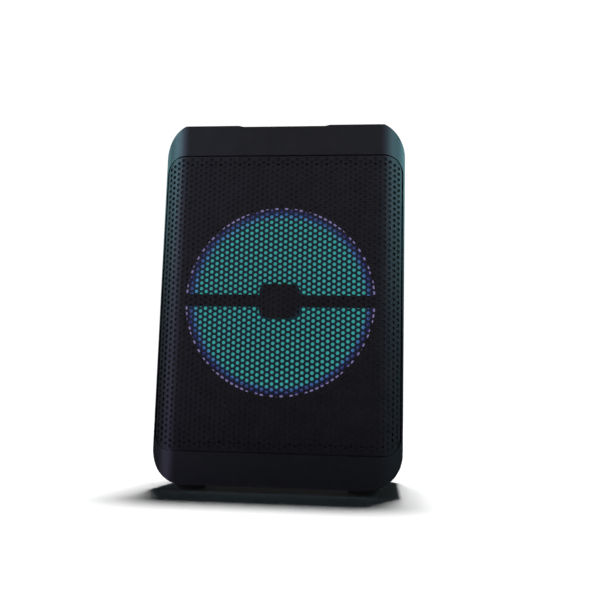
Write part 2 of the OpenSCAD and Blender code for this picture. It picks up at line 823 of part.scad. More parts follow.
module woofer_top_plate() color([0.5, 0.5, 0.52]) on_axis() difference() {
    translate([0, 0, plate_t0]) cylinder(h = plate_t, r = magnet_d / 2);
    translate([0, 0, plate_t0 - proud]) cylinder(h = plate_t + 2 * proud, r = gap_r);
}

module woofer_magnet() color([0.12, 0.12, 0.12]) on_axis() difference() {
    translate([0, 0, magnet_t0]) cylinder(h = magnet_h, r = magnet_d / 2);
    translate([0, 0, magnet_t0 - proud]) cylinder(h = magnet_h + 2 * proud, r = gap_r + 7);
}

module woofer_yoke() color([0.5, 0.5, 0.52]) on_axis() difference() {
    union() {
        translate([0, 0, yoke_t0]) cylinder(h = yoke_t, r = magnet_d / 2 - 2);
        translate([0, 0, plate_t0 - 1]) cylinder(h = yoke_t0 - plate_t0 + 2, r = pole_r);
    }
    translate([0, 0, plate_t0 - 2]) cylinder(h = 60, r = 4);
}

// ---------- port ----------

module port_tube() color([0.04, 0.04, 0.045])
    translate([0, back_y - 0.2, port_z]) rotate([90, 0, 0]) rotate_extrude() difference() {
        union() {
            translate([port_d / 2, 0]) square([port_wall, port_l]);
            translate([port_d / 2, 0]) square([port_flange, flange_t]);
        }
        // flared mouth
        difference() {
            translate([0, -proud]) square([port_d / 2 + port_round, port_round + proud]);
            translate([port_d / 2 + port_round, port_round]) circle(port_round);
        }
    }

// ---------- handle ----------

module handle_well() color([0.03, 0.03, 0.035]) difference() {
    union() {
        translate([0, well_y, well_seat - well_rim_t]) linear_extrude(well_rim_t)
            round_rect(well_w + 2 * well_rim, well_l + 2 * well_rim, well_r + well_rim);
        translate([0, well_y, well_top - well_deep - well_wall])
            linear_extrude(well_deep + well_wall - 0.2)
                round_rect(well_w - 2 * fit, well_l - 2 * fit, well_r - fit);
    }
    translate([0, well_y, well_top - well_deep]) linear_extrude(well_deep + proud)
        round_rect(well_w - 2 * well_wall, well_l - 2 * well_wall, well_r - well_wall);
    for (x = [-1, 1]) for (y = [-1, 1])
        translate([x * well_w / 2, well_y + y * grip_screw_y, grip_z - grip_screw_drop])
            rotate([0, 90, 0])
                cylinder(h = 3 * well_wall, r = shank_r + fit, center = true);
}

module handle_grip() color([0.04, 0.04, 0.045]) difference() {
    translate([-grip_l / 2, well_y, grip_z]) rotate([90, 0, 90]) linear_extrude(grip_l)
        round_rect(grip_w, grip_t, grip_edge);
    for (x = [-1, 1]) for (y = [-1, 1])
        translate([x * (grip_l / 2 - 4), well_y + y * grip_screw_y, grip_z - grip_screw_drop])
            rotate([0, 90, 0]) cylinder(h = 12, r = shank_r + slide, center = true);
}

module handle_screws() color([0.2, 0.2, 0.21]) for (x = [-1, 1]) for (y = [-1, 1])
    translate([x * (well_w / 2 - fit), well_y + y * grip_screw_y, grip_z - grip_screw_drop])
        rotate([0, 90 * x, 0]) {
            cylinder(h = head_h, r = head_r);
            translate([0, 0, -9]) cylinder(h = 10, r = shank_r);
        }

// ---------- control panel ----------

// A rod along Y on the panel, at a point measured from the panel's middle
module on_panel(p, y0, y1, r) {
    rod(p[0], panel_z + p[1], y0, y1, r);
}

module panel_block(p, w, h, y0, y1) {
    translate([p[0] - w / 2, y0, panel_z + p[1] - h / 2]) cube([w, y1 - y0, h]);
}

module control_panel() color([0.05, 0.05, 0.055]) difference() {
    union() {
        slab(back_y - flange_t, back_y) translate([0, panel_z])
            round_rect(panel_w + 2 * flange, panel_h + 2 * flange, 9);
        slab(panel_back, back_y) translate([0, panel_z]) round_rect(panel_w, panel_h, 6);
        for (x = [-1, 1]) for (z = [-1, 1])
            on_panel(board_post(x, z), amp_y, panel_back + 1, 3.5);
    }
    slab(panel_face, back_y + proud) translate([0, panel_z])
        round_rect(panel_w - 2 * panel_wall, panel_h - 2 * panel_wall, 6 - panel_wall);
    for (s = PANEL_SCREWS) {
        on_panel(s, back_y - flange_t - proud, back_y + proud, shank_r + 0.3);
        translate([s[0], back_y, panel_z + s[1]]) rotate([90, 0, 0])
            cylinder(h = 1.4, r1 = head_r + 0.1, r2 = shank_r + 0.2);
    }
    panel_block(DISPLAY, DISPLAY_SIZE[0] - 4, DISPLAY_SIZE[1] - 4, panel_back - proud,
                panel_face + proud);
    panel_block(DISPLAY, DISPLAY_SIZE[0] + 0.2, DISPLAY_SIZE[1] + 0.2, panel_face - lens_t,
                panel_face + proud);
    for (b = BUTTONS) on_panel(b, panel_back - proud, panel_face + proud, button_d / 2 + fit);
    for (k = [VOLUME, MIC, ECHO]) on_panel(k, panel_back - proud, panel_face + proud, bush_r + 0.1);
    panel_block(ROCKER, rocker_w + 3, rocker_h + 3, panel_back - proud, panel_face + proud);
    for (j = MIC_JACKS) on_panel(j, panel_back - proud, panel_face + proud, mic_jack_r + 0.1);
    on_panel(AUX, panel_back - proud, panel_face + proud, 4.1);
    on_panel(CHARGE, panel_back - proud, panel_face + proud, 5.1);
    panel_block(USB, usb_w + 0.4, usb_h + 0.4, panel_back - proud, panel_face + proud);
}

function board_post(x, z) = [x * (panel_w / 2 - 7), z * 8 + (z > 0 ? 34 : -12)];

module panel_screws() color([0.2, 0.2, 0.21]) for (s = PANEL_SCREWS)
    translate([s[0], back_y - 0.05, panel_z + s[1]]) rotate([90, 0, 0]) difference() {
        union() {
            cylinder(h = 1.4, r1 = head_r, r2 = shank_r);
            cylinder(h = 9, r = shank_r);
        }
        for (a = [0, 90]) rotate(a) translate([-1.6, -0.35, -proud]) cube([3.2, 0.7, proud + 0.8]);
    }

module display_lens() color([0.02, 0.02, 0.03, 0.6])
    panel_block(DISPLAY, DISPLAY_SIZE[0], DISPLAY_SIZE[1], panel_face - lens_t,
                panel_face - 0.1);

module display_module() color([0.1, 0.2, 0.15])
    panel_block(DISPLAY, DISPLAY_SIZE[0] - 6, DISPLAY_SIZE[1] - 6, amp_y,
                panel_face - lens_t - fit);

// A push button with a collar behind the panel and a stem on its switch
module button(k) color([0.12, 0.12, 0.13]) {
    b = BUTTONS[k];
    on_panel(b, panel_back - 1.9, panel_face + button_out, button_d / 2);
    on_panel(b, panel_back - 1.9, panel_back - 0.4, button_d / 2 + 1.2);
    on_panel(b, switch_top + button_travel + 0.2, panel_back - 1.5, 1.8);
}

module mode_button() button(0);
module previous_button() button(1);
module play_button() button(2);
module next_button() button(3);
module light_button() button(4);

module button_switches() color([0.2, 0.2, 0.2]) for (b = BUTTONS) {
    panel_block(b, 6, 6, amp_y, switch_top - 1);
    on_panel(b, switch_top - 1.5, switch_top - 0.1, 1.7);
}

module knob(p, d) color([0.06, 0.06, 0.07]) difference() {
    union() {
        on_panel(p, panel_face + bush_out + knob_gap, panel_face + knob_h, d / 2 - 0.6);
        on_panel(p, panel_face + bush_out + knob_gap, panel_face + bush_out + knob_gap + 2,
                 d / 2);
        for (a = [0 : 15 : 345])
            on_panel(p + (d / 2 - 0.7) * [sin(a), cos(a)], panel_face + bush_out + knob_gap,
                     panel_face + knob_h - 1.2, 0.6);
    }
    on_panel(p, panel_face, panel_face + knob_h - 3, shaft_r + slide);
    panel_block(p + [0, d / 4 + 0.6], 1.2, d / 2 - 3, panel_face + knob_h - 0.6,
                panel_face + knob_h + proud);
}

module volume_knob() knob(VOLUME, volume_d);
module mic_knob() knob(MIC, knob_d);
module echo_knob() knob(ECHO, knob_d);

module shaft(p) color([0.75, 0.75, 0.77])
    on_panel(p, amp_y + pot_h - 5, panel_face + knob_h - 3.2, shaft_r);

module volume_shaft() shaft(VOLUME);
module mic_shaft() shaft(MIC);
module echo_shaft() shaft(ECHO);

module potentiometers() color([0.35, 0.35, 0.36]) for (p = [VOLUME, MIC, ECHO]) difference() {
    union() {
        panel_block(p, pot, pot, amp_y, amp_y + pot_h);
        on_panel(p, amp_y + pot_h - 1, panel_face + bush_out, bush_r);
    }
    on_panel(p, amp_y + pot_h - 5.2, panel_face + bush_out + proud, shaft_r + slide);
}

module power_rocker() color([0.35, 0.03, 0.03])
    translate([ROCKER[0], rocker_pivot_y, panel_z + ROCKER[1]]) rotate([rocker_a, 0, 0]) {
        rotate([90, 0, 90]) linear_extrude(rocker_w - 2, center = true) difference() {
            circle(rocker_h / 2 - 1);
            translate([-rocker_h, -rocker_h]) square([rocker_h - 4.5, 2 * rocker_h]);
            translate([16.6, 0]) circle(15);
        }
        rotate([0, 90, 0]) cylinder(h = rocker_w - 0.4, r = rocker_pin_r, center = true);
    }

module power_switch() color([0.05, 0.05, 0.05]) difference() {
    union() {
        panel_block(ROCKER, rocker_w + 2.8, rocker_h + 2.8, amp_y, panel_face);
        panel_block(ROCKER, rocker_w + 6, rocker_h + 6, panel_face, panel_face + 1);
    }
    panel_block(ROCKER, rocker_w, rocker_h, panel_back - 4.5, panel_face + 2 * proud);
    translate([ROCKER[0], rocker_pivot_y, panel_z + ROCKER[1]]) rotate([0, 90, 0])
        cylinder(h = rocker_w + 1.6, r = rocker_pin_r + slide, center = true);
}

module mic_jacks() color([0.6, 0.6, 0.62]) for (j = MIC_JACKS) difference() {
    union() {
        on_panel(j, panel_face - mic_jack_l, panel_face + 0.2, mic_jack_r);
        on_panel(j, panel_face, panel_face + 2.2, mic_jack_r + 2);
    }
    on_panel(j, panel_face - mic_jack_l + 2, panel_face + 2 * proud + 1, mic_bore_r);
}

module round_sockets() color([0.1, 0.1, 0.1]) {
    difference() {
        union() {
            on_panel(AUX, amp_y, panel_face + 0.6, 4);
            panel_block(AUX, 9, 9, amp_y, panel_back - 1);
        }
        on_panel(AUX, amp_y + 1, panel_face + 2 * proud, aux_bore_r);
    }
    difference() {
        union() {
            on_panel(CHARGE, amp_y, panel_face + 0.6, 5);
            panel_block(CHARGE, 11, 11, amp_y, panel_back - 1);
        }
        on_panel(CHARGE, amp_y + 3, panel_face + 2 * proud, charge_bore_r);
    }
    on_panel(CHARGE, amp_y + 2, panel_face - 1, 1);
}

module usb_socket() color([0.65, 0.65, 0.67]) {
    difference() {
        panel_block(USB, usb_w, usb_h, amp_y, panel_face + 0.4);
        panel_block(USB, usb_w - 1.4, usb_h - 1.4, amp_y + 2, panel_face + 2 * proud);
    }
    panel_block(USB + [0, 1.4], usb_w - 3.6, 1.8, amp_y + 1, panel_face - 2);
}

module amplifier_board() color([0.05, 0.3, 0.15]) difference() {
    panel_block([0, 0], panel_w - 8, panel_h - 10, amp_y - amp_t, amp_y);
    panel_block(JACK_NOTCH, 46, 24, amp_y - amp_t - proud, amp_y + proud);
}

module heat_sink() color([0.75, 0.76, 0.78]) {
    panel_block(SINK, sink_w, sink_h, amp_y - amp_t - 7, amp_y - amp_t);
    for (k = [0 : 11])
        panel_block(SINK + [8 * k - 44, 0], 2, sink_h, amp_y - amp_t - 24, amp_y - amp_t - 6);
}

module battery_pack() color([0.15, 0.3, 0.7])
    translate([battery_x, back_y - back_wall - battery_t / 2 - 0.05, battery_z]) {
        for (s = [-1, 1]) translate([s * (battery_w / 4), 0, -battery_h / 2 + 2])
            cylinder(h = battery_h - 4, r = cell_r);
        cube([battery_w / 2, battery_t - 1, battery_h - 5], center = true);
        for (s = [-1, 1]) translate([0, 0, s * (battery_h / 2 - 1.5)])
            cube([battery_w, battery_t, 3], center = true);
    }

module woofer_wires() color([0.6, 0.1, 0.1]) tube(WOOFER_WIRES, wire_r);
module tweeter_wires() color([0.1, 0.1, 0.1]) tube(TWEETER_WIRES, wire_r);

front_bezel();
rear_shell();
cabinet_seal();
cabinet_screws();
front_grille();
grille_tape();
window_ring();
window_ring_screws();
tweeter_frame();
tweeter_dome();
tweeter_magnet();
tweeter_cover();
led_diffuser();
led_board();
leds();
baffle();
baffle_screws();
woofer_basket();
woofer_screws();
surround();
woofer_gasket();
cone();
dust_cap();
voice_coil();
spider();
woofer_top_plate();
woofer_magnet();
woofer_yoke();
port_tube();
handle_well();
handle_grip();
handle_screws();
control_panel();
panel_screws();
display_lens();
display_module();
mode_button();
previous_button();
play_button();
next_button();
light_button();
button_switches();
volume_knob();
mic_knob();
echo_knob();
volume_shaft();
mic_shaft();
echo_shaft();
potentiometers();
power_rocker();
power_switch();
mic_jacks();
round_sockets();
usb_socket();
amplifier_board();
heat_sink();
battery_pack();
feet();
woofer_wires();
tweeter_wires();
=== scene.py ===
import math

import bmesh
import bpy
import numpy as np
from mathutils import Matrix, Vector
from mathutils.geometry import delaunay_2d_cdt

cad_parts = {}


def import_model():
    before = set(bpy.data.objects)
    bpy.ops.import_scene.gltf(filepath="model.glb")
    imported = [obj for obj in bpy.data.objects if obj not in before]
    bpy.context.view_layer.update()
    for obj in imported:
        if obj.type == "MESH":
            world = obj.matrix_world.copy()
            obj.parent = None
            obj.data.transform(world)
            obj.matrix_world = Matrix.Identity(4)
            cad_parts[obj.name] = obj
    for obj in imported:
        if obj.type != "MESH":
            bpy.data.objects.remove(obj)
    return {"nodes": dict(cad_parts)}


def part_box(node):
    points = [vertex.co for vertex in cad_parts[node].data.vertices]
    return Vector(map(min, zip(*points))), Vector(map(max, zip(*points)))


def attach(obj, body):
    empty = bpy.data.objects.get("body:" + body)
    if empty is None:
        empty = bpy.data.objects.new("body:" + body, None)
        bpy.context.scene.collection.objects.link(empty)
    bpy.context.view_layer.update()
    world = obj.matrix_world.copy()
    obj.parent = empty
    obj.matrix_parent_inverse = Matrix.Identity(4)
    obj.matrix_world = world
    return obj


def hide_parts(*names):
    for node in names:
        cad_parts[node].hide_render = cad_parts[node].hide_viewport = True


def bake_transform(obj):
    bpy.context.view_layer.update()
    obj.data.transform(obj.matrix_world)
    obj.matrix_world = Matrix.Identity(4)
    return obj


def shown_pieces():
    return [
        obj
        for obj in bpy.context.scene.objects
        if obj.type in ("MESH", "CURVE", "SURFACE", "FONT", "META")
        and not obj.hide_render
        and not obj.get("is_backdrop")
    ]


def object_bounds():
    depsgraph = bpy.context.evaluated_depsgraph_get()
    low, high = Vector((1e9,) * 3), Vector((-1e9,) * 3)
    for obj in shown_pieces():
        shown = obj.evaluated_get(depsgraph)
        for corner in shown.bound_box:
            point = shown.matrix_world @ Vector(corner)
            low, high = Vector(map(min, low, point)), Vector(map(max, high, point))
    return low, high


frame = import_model()
CAD_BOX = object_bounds()
NODES = frame["nodes"]
MM = 0.001

# ---------- sizes ----------
# Outer sizes come from the frame. A bend or a roll that no box gives has the CAD model's value.

LOW, HIGH = CAD_BOX
FRONT_Y, BACK_Y = LOW.y, HIGH.y
HALF_W = HIGH.x
GRILLE_LOW, GRILLE_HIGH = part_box("front_grille")
AXIS_Z = (GRILLE_LOW.z + GRILLE_HIGH.z) / 2    # the woofer's axis
BEND_R = 38 * MM                               # the front turns back at both sides
BEND_A = math.radians(46)
FLAT_X = HALF_W - BEND_R * math.sin(BEND_A)
BEND_Y = FRONT_Y + BEND_R


# ---------- materials ----------

LIT_REACH = 110          # how far from the axis the lit colours are told, in millimetres
CLOUD = 18 * MM          # sizes of the mottling in colour and in gloss
SMUDGE = 7 * MM
LIT_CLOUD = 9 * MM
LIT_SMUDGE = 5 * MM
BAR_HALF = 5.5 * MM      # the dark bar across the lit window, and where its dark has faded; the painted glow on the grille is left off over the bar
BAR_FADED = 7.5 * MM
TEAL = (0.035, 0.285, 0.265)
# painted glow: emission on the grille sheet's web over the lit window, standing in for the lamps'
# light falling on it
WEB_PAINTED_GLOW = (0.0004, 0.008, 0.015)
DARK = (0, 0, 0)


class Nodes:
    """A material's node tree with short calls."""

    def __init__(self, material):
        self.material = material
        self.tree = material.node_tree
        self.shader = self.tree.nodes["Principled BSDF"]
        self.place = self.add("ShaderNodeTexCoord").outputs["Object"]

    def add(self, kind, **values):
        node = self.tree.nodes.new(kind)
        for key, value in values.items():
            setattr(node, key, value)
        return node

    def link(self, start, end):
        self.tree.links.new(start, end)

    def noise(self, size, detail=3.0, stretch=None):
        """Noise with features of about that size, in metres."""
        node = self.add("ShaderNodeTexNoise")
        node.inputs["Scale"].default_value = 1 / size
        node.inputs["Detail"].default_value = detail
        source = self.place
        if stretch:
            scale = self.add("ShaderNodeVectorMath", operation="MULTIPLY")
            scale.inputs[1].default_value = stretch
            self.link(self.place, scale.inputs[0])
            source = scale.outputs["Vector"]
        self.link(source, node.inputs["Vector"])
        return node.outputs["Fac"]

    def ramp(self, source, stops):
        """A colour ramp from (place, colour) stops."""
        node = self.add("ShaderNodeValToRGB")
        elements = node.color_ramp.elements
        while len(elements) < len(stops):
            elements.new(0.5)
        for element, (position, colour) in zip(elements, stops):
            element.position = position
            element.color = (*colour, 1)
        self.link(source, node.inputs["Fac"])
        return node.outputs["Color"]

    def span(self, source, low, high, start=0.0, end=1.0):
        """source from low to high as start to end."""
        node = self.add("ShaderNodeMapRange")
        ends = zip(("From Min", "From Max", "To Min", "To Max"), (low, high, start, end))
        for key, value in ends:
            node.inputs[key].default_value = value
        self.link(source, node.inputs["Value"])
        return node.outputs["Result"]

    def by_radius(self, stops):
        """A colour from (millimetres from the woofer's axis, colour) stops."""
        flat = self.add("ShaderNodeVectorMath", operation="MULTIPLY")
        flat.inputs[1].default_value = (1, 0, 1)
        away = self.add("ShaderNodeVectorMath", operation="DISTANCE")
        away.inputs[1].default_value = (0, 0, AXIS_Z)
        self.link(self.place, flat.inputs[0])
        self.link(flat.outputs["Vector"], away.inputs[0])
        share = self.span(away.outputs["Value"], 0, LIT_REACH * MM)
        return self.ramp(share, [(radius / LIT_REACH, colour) for radius, colour in stops])

    def bump(self, height, depth):
        node = self.add("ShaderNodeBump")
        node.inputs["Distance"].default_value = depth
        node.inputs["Strength"].default_value = 1.0
        self.link(height, node.inputs["Height"])
        self.link(node.outputs["Normal"], self.shader.inputs["Normal"])

    def set(self, **values):
        for key, value in values.items():
            self.shader.inputs[key.replace("_", " ")].default_value = value


def fresh(name):
    material = bpy.data.materials.new(name)
    material.use_nodes = True
    return material


def shade(colour, factor):
    return tuple(min(1.0, c * factor) for c in colour)


def finish(name, colour, rough=0.5, spread=0.06, vary=0.25, grain=0.6 * MM, depth=0.03 * MM,
           metal=0.0, level=0.3, stretch=None):
    """A moulded, painted or metal surface: mottled colour, uneven gloss and a fine grain."""
    made = Nodes(fresh(name))
    colours = [(0.3, shade(colour, 1 - vary)), (0.7, shade(colour, 1 + vary))]
    made.link(made.ramp(made.noise(CLOUD, 4), colours), made.shader.inputs["Base Color"])
    gloss = made.span(made.noise(SMUDGE, 5), 0.25, 0.75, rough - spread, rough + spread)
    made.link(gloss, made.shader.inputs["Roughness"])
    made.bump(made.noise(grain, 2, stretch), depth)
    made.set(Metallic=metal, Specular_IOR_Level=level)
    return made.material


def glowing(name, stops, colour, strength=1.0, rough=0.4, spread=0.08):
    """A surface lit from inside: its light goes by the distance from the axis."""
    made = Nodes(fresh(name))
    made.link(made.by_radius(stops), made.shader.inputs["Emission Color"])
    colours = [(0.3, shade(colour, 0.8)), (0.7, colour)]
    made.link(made.ramp(made.noise(LIT_CLOUD, 3), colours), made.shader.inputs["Base Color"])
    gloss = made.span(made.noise(LIT_SMUDGE, 3), 0.2, 0.8, rough - spread, rough + spread)
    made.link(gloss, made.shader.inputs["Roughness"])
    made.bump(made.noise(1.5 * MM, 2), 0.02 * MM)
    made.set(Emission_Strength=strength)
    return made.material


def add_painted_window_glow(material):
    """Paints a faint glow into the grille sheet, standing in for the light of the lamps inside
    falling on its web, except over the middle bar and its cap.
    """
    made = Nodes(material)
    glow = made.by_radius([(20, DARK), (23.5, WEB_PAINTED_GLOW), (90, WEB_PAINTED_GLOW),
                           (94, (0.002, 0.006, 0.022)), (99, DARK)])
    split = made.add("ShaderNodeSeparateXYZ")
    made.link(made.place, split.inputs[0])
    middle = made.add("ShaderNodeMath", operation="SUBTRACT")
    middle.inputs[1].default_value = AXIS_Z
    made.link(split.outputs["Z"], middle.inputs[0])
    height = made.add("ShaderNodeMath", operation="ABSOLUTE")
    made.link(middle.outputs[0], height.inputs[0])
    off_bar = made.add("ShaderNodeMix", data_type="RGBA")
    off_bar.inputs[6].default_value = (*DARK, 1)
    made.link(made.span(height.outputs[0], BAR_HALF, BAR_FADED), off_bar.inputs["Factor"])
    made.link(glow, off_bar.inputs[7])
    made.link(off_bar.outputs[2], made.shader.inputs["Emission Color"])
    made.set(Emission_Strength=1.0)


FINISHES = {
    "cabinet": dict(colour=(0.0085, 0.0055, 0.0075), rough=0.37, spread=0.03, vary=0.15,
                    level=0.5, grain=0.7 * MM, depth=0.012 * MM),
    "mask": dict(colour=(0.014, 0.0095, 0.012), rough=0.6),
    "grille": dict(colour=(0.0095, 0.0055, 0.008), rough=0.38, spread=0.03, vary=0.15,
                   level=0.4, grain=0.5 * MM, depth=0.012 * MM),
    "panel": dict(colour=(0.012, 0.012, 0.014), rough=0.45, level=0.5, grain=0.5 * MM),
    "rubber": dict(colour=(0.012, 0.012, 0.012), rough=0.7, level=0.2),
    "steel_screw": dict(colour=(0.06, 0.06, 0.065), rough=0.35, metal=0.9, level=0.5),
    "lamp": dict(colour=(0.8, 0.8, 0.75), rough=0.3),
    "board": dict(colour=(0.02, 0.16, 0.07), rough=0.35, level=0.5),
    "tweeter": dict(colour=(0.012, 0.011, 0.012)),
    "frame_steel": dict(colour=(0.012, 0.012, 0.014), rough=0.42, level=0.4),
    "plated_steel": dict(colour=(0.45, 0.45, 0.47), rough=0.32, metal=1.0,
                         stretch=(1, 1, 12), depth=0.006 * MM),
    "ferrite": dict(colour=(0.04, 0.04, 0.044), rough=0.6),
    "copper": dict(colour=(0.6, 0.3, 0.14), rough=0.35, metal=1.0, grain=0.3 * MM,
                   stretch=(0.1, 3, 0.1)),
    "spider_cloth": dict(colour=(0.45, 0.33, 0.12), rough=0.8, grain=0.5 * MM,
                         depth=0.15 * MM),
    "aluminium": dict(colour=(0.62, 0.63, 0.65), rough=0.35, metal=1.0, stretch=(1, 1, 15),
                      depth=0.008 * MM),
    "shaft_metal": dict(colour=(0.6, 0.6, 0.62), rough=0.25, metal=1.0, depth=0.005 * MM),
    "knob": dict(colour=(0.02, 0.02, 0.023), rough=0.36, level=0.5),
    "button": dict(colour=(0.035, 0.035, 0.04), rough=0.36, level=0.5),
    "rocker": dict(colour=(0.35, 0.015, 0.012), rough=0.25, level=0.5, depth=0.004 * MM),
    "lens": dict(colour=(0.006, 0.006, 0.009), rough=0.08, spread=0.02, level=0.6,
                 depth=0.002 * MM),
    "battery": dict(colour=(0.02, 0.08, 0.35), rough=0.3, level=0.5),
    "wire_red": dict(colour=(0.4, 0.02, 0.02), rough=0.4),
    "wire_black": dict(colour=(0.012, 0.012, 0.012), rough=0.4),
    "print": dict(colour=(0.5, 0.5, 0.5), vary=0.1, depth=0.005 * MM),
}
GLOWS = {
    "cone": dict(stops=[(0, TEAL), (90, TEAL)], colour=(0.02, 0.10, 0.11)),
    "surround": dict(stops=[(0, TEAL), (92.5, TEAL), (95.5, (0.045, 0.17, 0.34))],
                     colour=(0.02, 0.08, 0.10)),
    "diffuser": dict(stops=[
        (90.5, (0.055, 0.19, 0.36)), (94.2, (0.03, 0.09, 0.28)), (94.9, (0.003, 0.005, 0.03)),
        (95.6, (0.07, 0.09, 0.28)), (96.4, (0.008, 0.01, 0.07)), (98.4, (0.012, 0.01, 0.08)),
        (99.2, (0.2, 0.17, 0.34)), (104, (0.16, 0.12, 0.3))
    ], colour=(0.05, 0.05, 0.09)),
    "digits": dict(stops=[(0, (0.2, 0.9, 0.8)), (LIT_REACH, (0.2, 0.9, 0.8))],
                   colour=(0.02, 0.1, 0.1), strength=0.9),
}
MATERIALS = {name: finish(name, **values) for name, values in FINISHES.items()}
MATERIALS.update({name: glowing(name, **values) for name, values in GLOWS.items()})
# painted glow on the grille sheet over the lit window
add_painted_window_glow(MATERIALS["grille"])


def paint(piece, slot):
    piece.data.materials.clear()
    piece.data.materials.append(MATERIALS[slot])


def as_object(name, mesh, material, body=None):
    data = bpy.data.meshes.new(name)
    mesh.to_mesh(data)
    mesh.free()
    piece = bpy.data.objects.new(name, data)
    bpy.context.scene.collection.objects.link(piece)
    data.materials.append(MATERIALS[material])
    if body:
        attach(piece, body)
    return piece


# ---------- perforated grille ----------

HOLE_R = 1.88 * MM
PITCH = 6 * MM
HOLE_SIDES = 12
SHEET = 1 * MM
SHEET_IN = 0.3 * MM      # from the cabinet's front to the sheet's
GRILLE_R = 18 * MM       # corner of the sheet
MARGIN = 0.7 * MM        # least metal between a hole and the sheet's edge
CORNER_STEPS = 8
RIM_STEP = 4 * MM
SHARP = math.radians(40)


def bent(s, z, inset):
    """The point of the bent front at developed length s, that far inside the outer face."""
    radius = BEND_R - inset
    turn = (abs(s) - FLAT_X) / (BEND_R - SHEET_IN)
    if turn <= 0:
        return Vector((s, FRONT_Y + inset, z))
    x = FLAT_X + radius * math.sin(turn)
    return Vector((math.copysign(x, s), BEND_Y - radius * math.cos(turn), z))


def rounded_outline(half_w, half_h, radius, step):
    """Points round a rectangle with round corners, centred on 0."""
    points = []
    corners = [(1, 1, 0), (-1, 1, 90), (-1, -1, 180), (1, -1, 270)]
    for sx, sz, start in corners:
        cx, cz = sx * (half_w - radius), sz * (half_h - radius)
        for k in range(CORNER_STEPS + 1):
            a = math.radians(start + 90 * k / CORNER_STEPS)
            points.append(Vector((cx + radius * math.cos(a), cz + radius * math.sin(a))))
    outline = []
    for here, there in zip(points, points[1:] + points[:1]):
        parts = max(1, round((there - here).length / step))
        outline += [here.lerp(there, k / parts) for k in range(parts)]
    return outline


def circle(s, z, radius, sides):
    turns = [2 * math.pi * k / sides for k in range(sides)]
    return [Vector((s + radius * math.cos(a), z + radius * math.sin(a))) for a in turns]


def inside(s, z, half_w, half_h, radius):
    """How far a point lies inside a rectangle with round corners."""
    qx, qz = abs(s) - half_w + radius, abs(z) - half_h + radius
    return radius - math.hypot(max(qx, 0), max(qz, 0)) - min(max(qx, qz), 0)


def hole_centres(half_w, half_h):
    """Staggered rows of holes, as far as the sheet's edge allows."""
    column = PITCH * math.sqrt(3) / 2
    columns = int(half_w / column) + 1
    rows = int(half_h / PITCH) + 1
    for i in range(-columns, columns + 1):
        for j in range(-rows, rows + 1):
            s, z = i * column, (j + 0.5 * (i % 2)) * PITCH
            if inside(s, z, half_w, half_h, GRILLE_R) > HOLE_R + MARGIN:
                yield s, z


def bent_plate(rings, loose, inset, thick):
    """A bent sheet inside the first ring and outside the others, with loose points in it."""
    flat = [p for ring in rings for p in ring] + loose
    ring_of_point = [k for k, ring in enumerate(rings) for _ in ring] + [0] * len(loose)
    edges, start = [], 0
    for ring in rings:
        turn = list(range(start, start + len(ring)))
        edges += zip(turn, turn[1:] + turn[:1])
        start += len(ring)
    points, _, faces, origin, _, _ = delaunay_2d_cdt([p / MM for p in flat], edges, [], 1, 1e-5)
    ring_of = [ring_of_point[o[0]] if o else 0 for o in origin]
    mesh = bmesh.new()
    front = [mesh.verts.new(bent(p.x * MM, AXIS_Z + p.y * MM, inset)) for p in points]
    back = [mesh.verts.new(bent(p.x * MM, AXIS_Z + p.y * MM, inset + thick)) for p in points]
    used = {}
    for face in faces:
        touched = {ring_of[v] for v in face}
        if len(touched) == 1 and touched != {0}:
            continue                       # the inside of a hole
        mesh.faces.new([front[v] for v in face])
        mesh.faces.new([back[v] for v in reversed(face)])
        for a, b in zip(face, face[1:] + face[:1]):
            used[(a, b)] = True
    for a, b in used:
        if (b, a) not in used:
            mesh.faces.new([front[b], front[a], back[a], back[b]])
    for v in [v for v in mesh.verts if not v.link_faces]:
        mesh.verts.remove(v)
    bmesh.ops.recalc_face_normals(mesh, faces=mesh.faces)
    for face in mesh.faces:
        face.smooth = True
    for edge in mesh.edges:
        if len(edge.link_faces) == 2 and edge.calc_face_angle(0) > SHARP:
            edge.smooth = False
    return mesh


def sheet_half():
    """Half the grille's developed width and half its height."""
    bend = BEND_R - SHEET_IN
    return (FLAT_X + bend * math.asin((GRILLE_HIGH.x - FLAT_X) / bend),
            (GRILLE_HIGH.z - GRILLE_LOW.z) / 2)


def perforated_sheet():
    half_w, half_h = sheet_half()
    rings = [rounded_outline(half_w, half_h, GRILLE_R, RIM_STEP)]
    rings += [circle(s, z, HOLE_R, HOLE_SIDES) for s, z in hole_centres(half_w, half_h)]
    return bent_plate(rings, [], SHEET_IN, SHEET)


grille = as_object("grille_sheet", perforated_sheet(), "grille", "cabinet")
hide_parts("front_grille")

# ---------- cloth glued behind the grille ----------

CLOTH_EDGE = 9 * MM      # from the sheet's edge to the cloth's
CLOTH_R = GRILLE_R - CLOTH_EDGE
CLOTH_HOLE = 101.5 * MM
CLOTH_CAP = 17 * MM
CLOTH_IN = SHEET_IN + SHEET + 0.08 * MM
CLOTH = 0.25 * MM
CLOTH_STEP = 4 * MM
HOLE_POINTS = 144
CAP_POINTS = 48


def cloth_sheet(half_w, half_h):
    """The cloth with its opening over the lit window."""
    loose = []
    for i in range(-40, 41):
        for j in range(-50, 51):
            s, z = i * CLOTH_STEP, j * CLOTH_STEP
            if (inside(s, z, half_w, half_h, CLOTH_R) > CLOTH_STEP / 2
                    and math.hypot(s, z) > CLOTH_HOLE + CLOTH_STEP / 2):
                loose.append(Vector((s, z)))
    rings = [rounded_outline(half_w, half_h, CLOTH_R, CLOTH_STEP),
             circle(0, 0, CLOTH_HOLE, HOLE_POINTS)]
    return bent_plate(rings, loose, CLOTH_IN, CLOTH)


